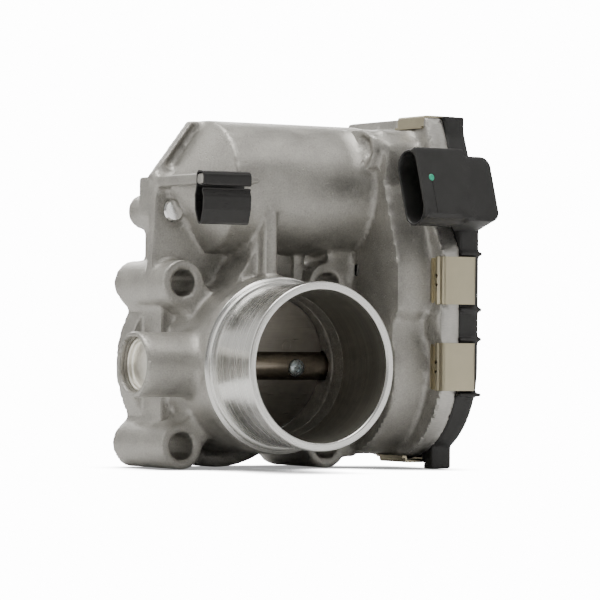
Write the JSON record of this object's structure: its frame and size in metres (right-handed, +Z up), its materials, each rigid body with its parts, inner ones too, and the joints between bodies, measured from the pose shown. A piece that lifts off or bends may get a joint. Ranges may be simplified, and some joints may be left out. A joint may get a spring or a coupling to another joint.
{
  "type": "electronic throttle body",
  "caption": "Electronic throttle body with a cast housing, bored inlet spigot, motor-driven throttle plate and a clipped plastic gear cover with a connector.",
  "frame": {"origin": "centre of the air bore on the rear flange face", "axes": "+Y out of the rear flange face along the air bore, -Y towards the inlet spigot, +X along the throttle shaft towards the gear case, +Z up towards the motor"},
  "size_m": [0.0948, 0.0667, 0.0976],
  "materials": {
    "cast_aluminium": "fine-grained die casting, matt",
    "cover_plastic": "fine-grained moulded",
    "seal_rubber": "matt",
    "clip_steel": "rolled strip, satin",
    "black_spring_steel": "black oxide, satin",
    "turned_steel": "turned, bright",
    "bearing_steel": "ground",
    "shaft_steel": "ground, warm grey",
    "plate_metal": "machined, satin",
    "dark_screw": "black passivated",
    "zinc_steel": "zinc plated",
    "ferrite": "sintered, matt",
    "carbon": "matt",
    "sintered_bronze": "porous",
    "contact_metal": "tin and gold plated",
    "board_green": "solder mask",
    "gear_plastic": "natural nylon",
    "end_cap_plastic": "moulded",
    "lamination": "stacked sheet edges",
    "copper": "enamelled wire"
  },
  "bodies": {
    "body": {"housing": "cast_aluminium", "gear_cover": "cover_plastic", "cover_seal": "seal_rubber", "cover_clips": "clip_steel", "hose_clip": "black_spring_steel", "locating_dowel": "turned_steel", "shaft_plug": "turned_steel", "bearing_left": "bearing_steel", "bearing_right": "bearing_steel", "seal_left": "seal_rubber", "seal_right": "seal_rubber", "motor_can": "zinc_steel", "motor_end_cap": "end_cap_plastic", "motor_magnets": "ferrite", "motor_brushes": "carbon", "motor_bushings": "sintered_bronze", "motor_screws": "zinc_steel", "motor_washer": "zinc_steel", "motor_terminals": "contact_metal", "idler_pin": "bearing_steel", "return_spring": "zinc_steel", "connector_pins": "contact_metal", "sensor_board": "board_green"},
    "throttle": {"throttle_shaft": "shaft_steel", "throttle_plate": "plate_metal", "plate_screws": "dark_screw", "gear_insert": "zinc_steel", "throttle_gear": "gear_plastic", "sensor_rotor": "ferrite"},
    "intermediate_gear": {"idler_gear": "gear_plastic"},
    "motor_rotor": {"motor_shaft": "bearing_steel", "armature_stack": "lamination", "armature_windings": "copper", "commutator": "copper", "motor_pinion": "bearing_steel"}
  },
  "joints": [
    {"name": "rotor_spin", "type": "hinge", "parent": "body", "child": "motor_rotor", "pos_m": [0, -0.0215, 0.0486], "axis": [1, 0, 0], "range_deg": [-95, 1257]},
    {"name": "idler_spin", "type": "hinge", "parent": "body", "child": "intermediate_gear", "pos_m": [0, -0.02818, 0.02649], "axis": [1, 0, 0], "range_deg": [-280, 22]},
    {"name": "throttle_turn", "type": "hinge", "parent": "body", "child": "throttle", "pos_m": [0, -0.03, 0], "axis": [1, 0, 0], "range_deg": [-6, 79], "stiffness_Nm_per_rad": 0.25, "deforming": ["return_spring"]}
  ],
  "couplings": [
    {"joint": "idler_spin", "follows": "rotor_spin", "ratio": -0.22222},
    {"joint": "throttle_turn", "follows": "rotor_spin", "ratio": 0.062802}
  ]
}
